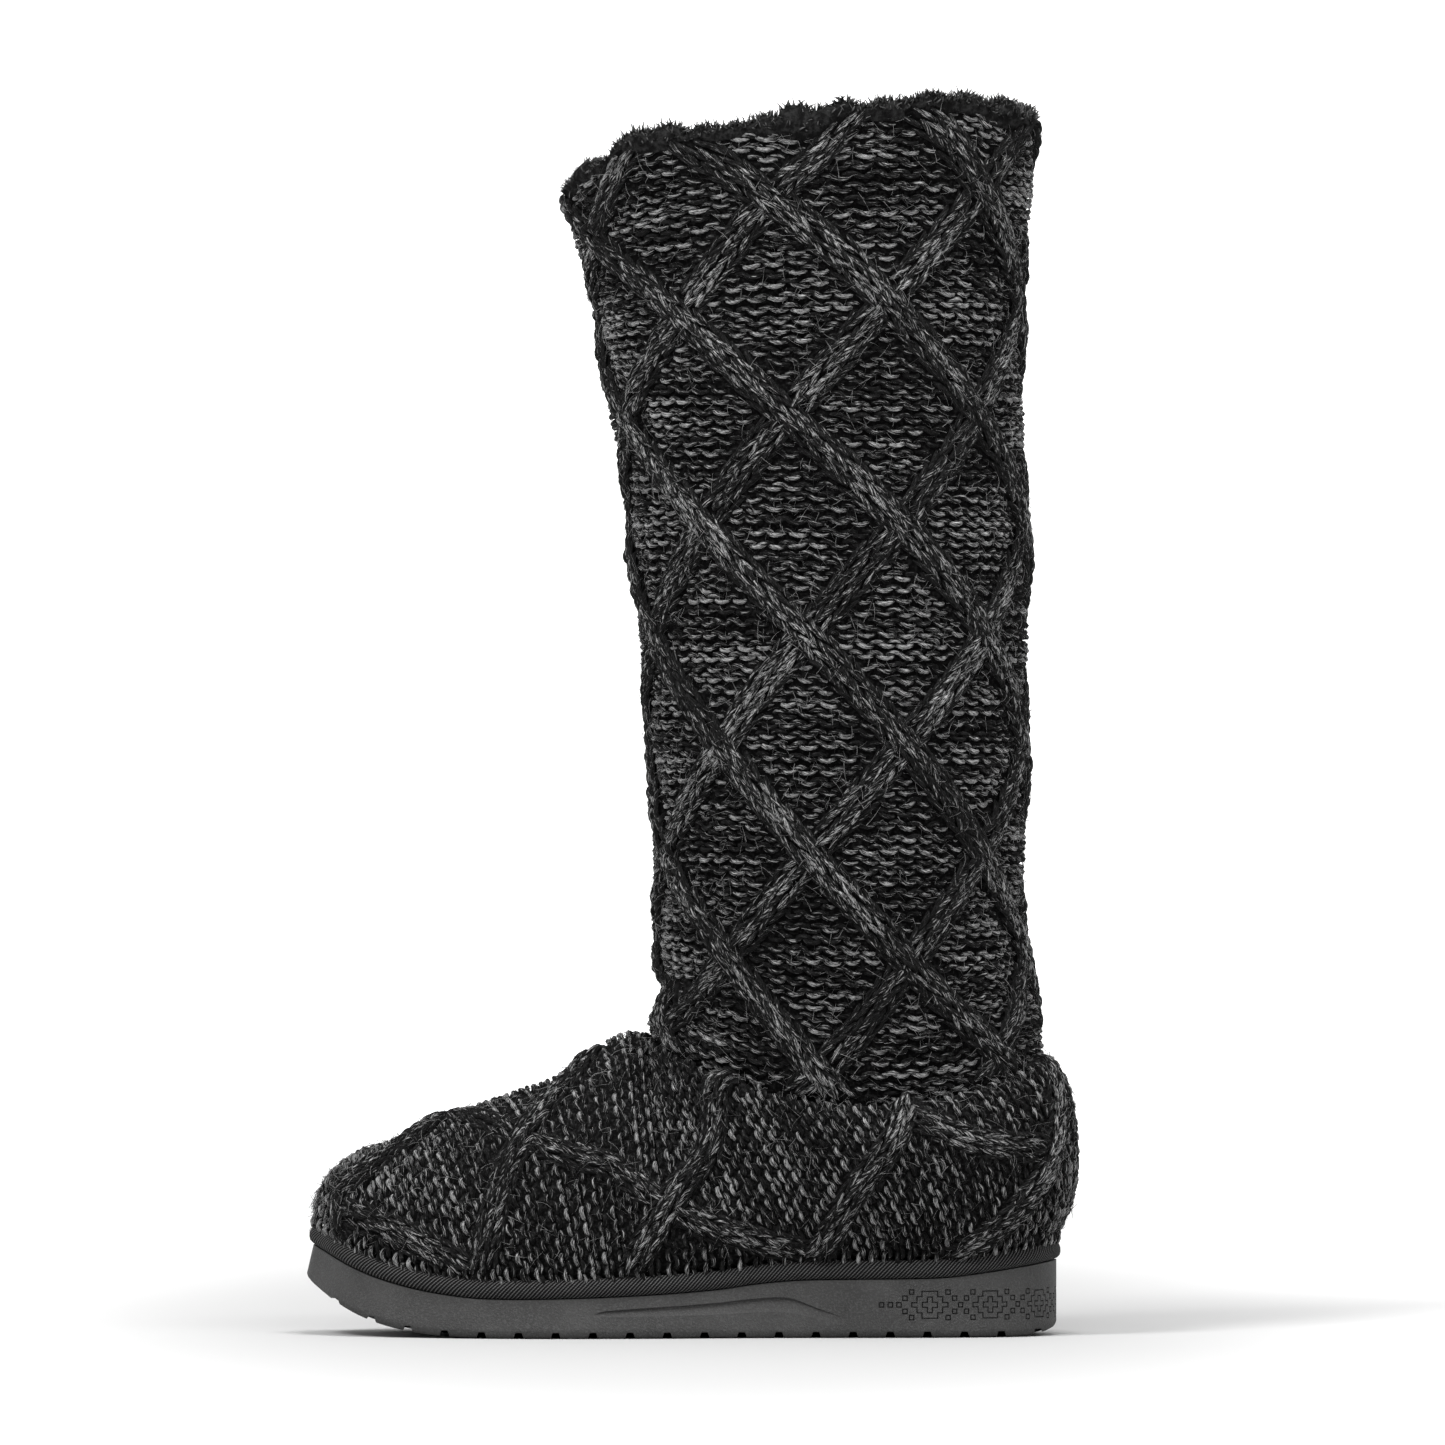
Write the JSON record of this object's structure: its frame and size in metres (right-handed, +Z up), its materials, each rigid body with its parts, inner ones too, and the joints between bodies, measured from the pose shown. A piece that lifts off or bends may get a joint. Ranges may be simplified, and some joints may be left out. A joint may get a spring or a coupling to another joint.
{
  "type": "boot",
  "caption": "Tall pull-on cable-knit boot with a fleece lining that stands over the collar, a cloth binding and a moulded outsole.",
  "frame": {"origin": "on the floor, under the middle of the boot's bounding box", "axes": "+Z up, the toe points to -X, the outer side of the foot is -Y"},
  "size_m": [0.2694, 0.1098, 0.441],
  "materials": {
    "knit": "marled charcoal wool-like yarn",
    "sole": "matte, fine grain",
    "binding": "twill tape",
    "fleece": "curly fleece"
  },
  "bodies": {
    "root": {"outsole": "sole", "insole": "fleece", "binding": "binding", "foot_upper": "knit", "shaft": "knit", "fur_collar": "fleece"}
  },
  "joints": []
}
